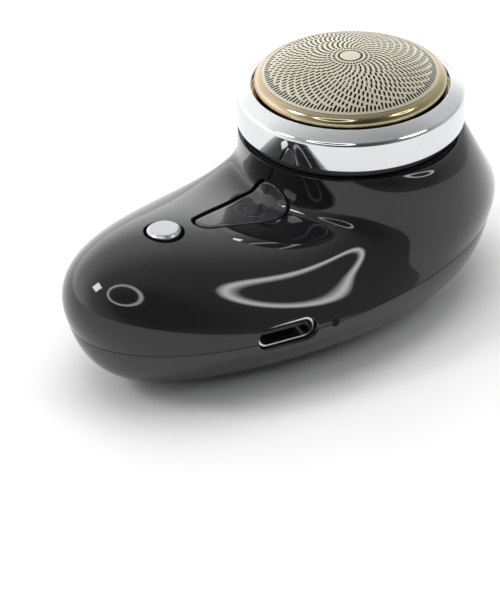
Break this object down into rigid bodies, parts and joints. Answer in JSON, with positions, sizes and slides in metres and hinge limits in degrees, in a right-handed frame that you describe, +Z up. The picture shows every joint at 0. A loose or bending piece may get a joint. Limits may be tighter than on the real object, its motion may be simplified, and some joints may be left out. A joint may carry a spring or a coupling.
{
  "type": "electric shaver",
  "caption": "Low gloss black pocket rotary shaver with a round chrome-ringed foil head at one end, a round chrome button, a teardrop indicator window and a USB-C inlet in the side.",
  "frame": {"origin": "bottom centre of the whole shaver, on the face it rests on", "axes": "+X towards the shaving head, -Y the side with the charging inlet, +Z up"},
  "size_m": [0.0761, 0.0426, 0.039],
  "materials": {
    "gloss_black": "glossy moulded black shell",
    "seal_rubber": "soft black seal rubber",
    "screw_steel": "plated steel screws",
    "matte_black": "moulded black plastic",
    "chrome_trim": "polished chrome plating",
    "foil_rim": "polished rim with a warm gilt tone",
    "foil_steel": "thin shaving foil steel with a warm tone",
    "blade_steel": "ground cutter steel",
    "drive_black": "moulded black drive parts",
    "motor_steel": "pressed motor steel",
    "magnet_grey": "sintered ferrite",
    "copper": "copper parts",
    "bearing_bronze": "sintered bronze",
    "smoked_lens": "smoked clear plastic",
    "clear_plastic": "clear moulded plastic",
    "port_steel": "stamped inlet shell",
    "board_green": "circuit board with green solder mask",
    "chip_black": "moulded chip bodies",
    "lamp_white": "small lamp body",
    "cell_wrap": "shrink wrap round the cell",
    "foam_grey": "soft foam pad",
    "wire_red": "wire insulation"
  },
  "bodies": {
    "casing": {"top_shell": "gloss_black", "bottom_shell": "gloss_black", "shell_gasket": "seal_rubber", "shell_screws": "screw_steel", "screw_caps": "matte_black", "motor_can": "motor_steel", "motor_magnets": "magnet_grey", "motor_end_cap": "matte_black", "motor_terminals": "copper", "motor_brushes": "copper", "front_bush": "bearing_bronze", "rear_bush": "bearing_bronze", "shaft_seal": "seal_rubber", "motor_bracket": "motor_steel", "bracket_screws": "screw_steel", "motor_screws": "screw_steel", "button_seal": "seal_rubber", "tact_switch": "chip_black", "indicator_window": "smoked_lens", "indicator_light_guide": "clear_plastic", "indicator_led": "lamp_white", "usb_c_shell": "port_steel", "usb_c_tongue": "matte_black", "charge_light_pipe": "clear_plastic", "main_pcb": "board_green", "charge_led": "lamp_white", "charge_ic": "chip_black", "pcb_components": "chip_black", "battery_cell": "cell_wrap", "battery_pad": "foam_grey", "battery_leads": "wire_red", "motor_leads": "wire_red"},
    "head": {"head_base": "matte_black", "head_ring": "chrome_trim", "foil_retainer": "matte_black"},
    "foil_unit": {"foil_frame": "foil_rim", "foil": "foil_steel"},
    "cutter": {"cutter_carrier": "drive_black", "cutter_blades": "blade_steel", "cutter_pin": "blade_steel"},
    "rotor": {"motor_shaft": "blade_steel", "motor_armature": "motor_steel", "motor_windings": "copper", "motor_commutator": "copper", "drive_hub": "drive_black", "drive_spring": "screw_steel"},
    "button": {"button_cap": "chrome_trim", "button_stem": "matte_black", "switch_plunger": "matte_black"}
  },
  "joints": [
    {"name": "button_press", "type": "slide", "parent": "casing", "child": "button", "axis": [0, 0, -1], "range_m": [0, 0.0005], "stiffness_N_per_m": 800, "springref_m": -0.0002},
    {"name": "head_lift", "type": "slide", "parent": "casing", "child": "head", "axis": [0, 0, 1], "range_m": [0, 0.015]},
    {"name": "foil_float", "type": "slide", "parent": "head", "child": "foil_unit", "axis": [0, 0, 1], "range_m": [-0.0005, 0], "stiffness_N_per_m": 500, "springref_m": 0.0006, "deforming": ["drive_spring"]},
    {"name": "cutter_spin", "type": "hinge", "parent": "foil_unit", "child": "cutter", "pos_m": [0.0137, 0, 0.031], "axis": [0, 0, 1], "continuous": true},
    {"name": "rotor_spin", "type": "hinge", "parent": "casing", "child": "rotor", "pos_m": [0.0137, 0, 0.015], "axis": [0, 0, 1], "continuous": true}
  ],
  "couplings": [
    {"joint": "cutter_spin", "follows": "rotor_spin", "ratio": 1}
  ]
}
